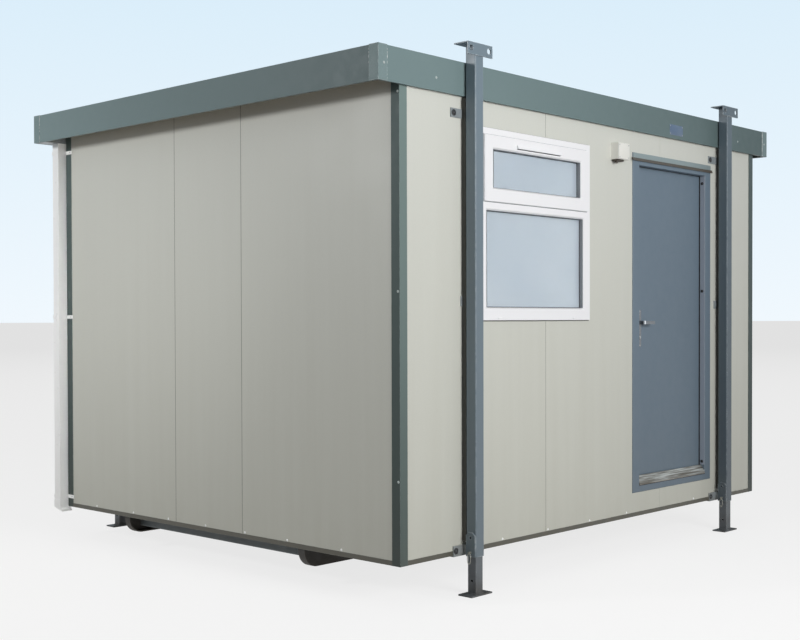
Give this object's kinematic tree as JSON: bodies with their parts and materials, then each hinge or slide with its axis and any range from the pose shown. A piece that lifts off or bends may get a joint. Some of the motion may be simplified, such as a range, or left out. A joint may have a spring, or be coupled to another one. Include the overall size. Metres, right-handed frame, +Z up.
{
  "type": "portable site cabin",
  "caption": "Flat-roofed portable site cabin with sandwich panel walls, a window, a hinged door and telescopic jacking legs with lifting heads.",
  "frame": {"origin": "on the ground, at the middle of the four foot plates", "axes": "+X to the right along the front wall as seen from outside, -Y out of the front wall (the wall with the door), +Z up"},
  "size_m": [3.944, 3.257, 2.815],
  "materials": {
    "wall_panel": "satin",
    "trim": "satin",
    "fascia": "satin",
    "base_trim": "satin",
    "leg_steel": "satin",
    "skid_steel": "matte",
    "chassis_steel": "satin",
    "door_paint": "satin",
    "bare_aluminium": "satin",
    "white_upvc": "gloss",
    "pane": "gloss",
    "floor_board": "matte",
    "joist_timber": "matte",
    "roof_board": "matte",
    "roof_steel": "satin",
    "gutter_steel": "satin",
    "white_pipe": "satin",
    "box_plastic": "matte",
    "hinge_steel": "satin",
    "handle_metal": "satin",
    "pin_steel": "satin"
  },
  "bodies": {
    "cabin": {"base_trims": "base_trim", "corner_trims": "trim", "door_drip_strip": "door_paint", "door_frame": "door_paint", "door_threshold": "bare_aluminium", "downpipe": "white_pipe", "end_members": "chassis_steel", "fascia_corners": "fascia", "fascia_end_flanges": "fascia", "fascia_end_lips": "fascia", "fascia_front": "fascia", "fascia_left": "fascia", "fascia_rear": "fascia", "fascia_rear_flange": "fascia", "fascia_right": "fascia", "floor_deck": "floor_board", "floor_joists": "joist_timber", "frame_hinges": "hinge_steel", "front_panel_left": "wall_panel", "front_panel_middle": "wall_panel", "front_panel_over_door": "wall_panel", "front_panel_right": "wall_panel", "front_panel_under_door": "wall_panel", "gutter_floor": "gutter_steel", "gutter_walls": "gutter_steel", "junction_box": "box_plastic", "left_panels": "wall_panel", "leg_brackets": "leg_steel", "leg_channels": "leg_steel", "leg_inner_front_left": "leg_steel", "leg_inner_front_right": "leg_steel", "leg_inner_rear_left": "leg_steel", "leg_inner_rear_right": "leg_steel", "leg_outer_front_left": "leg_steel", "leg_outer_front_right": "leg_steel", "leg_outer_rear_left": "leg_steel", "leg_outer_rear_right": "leg_steel", "leg_pins": "pin_steel", "pipe_clips": "white_pipe", "pipe_shoe": "white_pipe", "rear_panels": "wall_panel", "right_panels": "wall_panel", "roof_deck": "roof_board", "roof_sheet": "roof_steel", "skids": "skid_steel", "vent_canopy": "white_upvc", "window_frame": "white_upvc", "window_glass": "pane", "window_opener": "white_upvc"},
    "door": {"door_leaf": "door_paint", "leaf_hinges": "hinge_steel", "handle_plates": "handle_metal"},
    "handle": {"lever_handle": "handle_metal"}
  },
  "joints": [
    {"name": "door_hinge", "type": "hinge", "parent": "cabin", "child": "door", "pos_m": [1.154, -1.4255, 1.39], "axis": [0, 0, -1], "range_deg": [0, 95]},
    {"name": "handle_turn", "type": "hinge", "parent": "door", "child": "handle", "pos_m": [0.403, -1.4615, 1.39], "axis": [0, 1, 0], "range_deg": [0, 40], "stiffness_Nm_per_rad": 1.2, "springref_deg": -14.32}
  ]
}
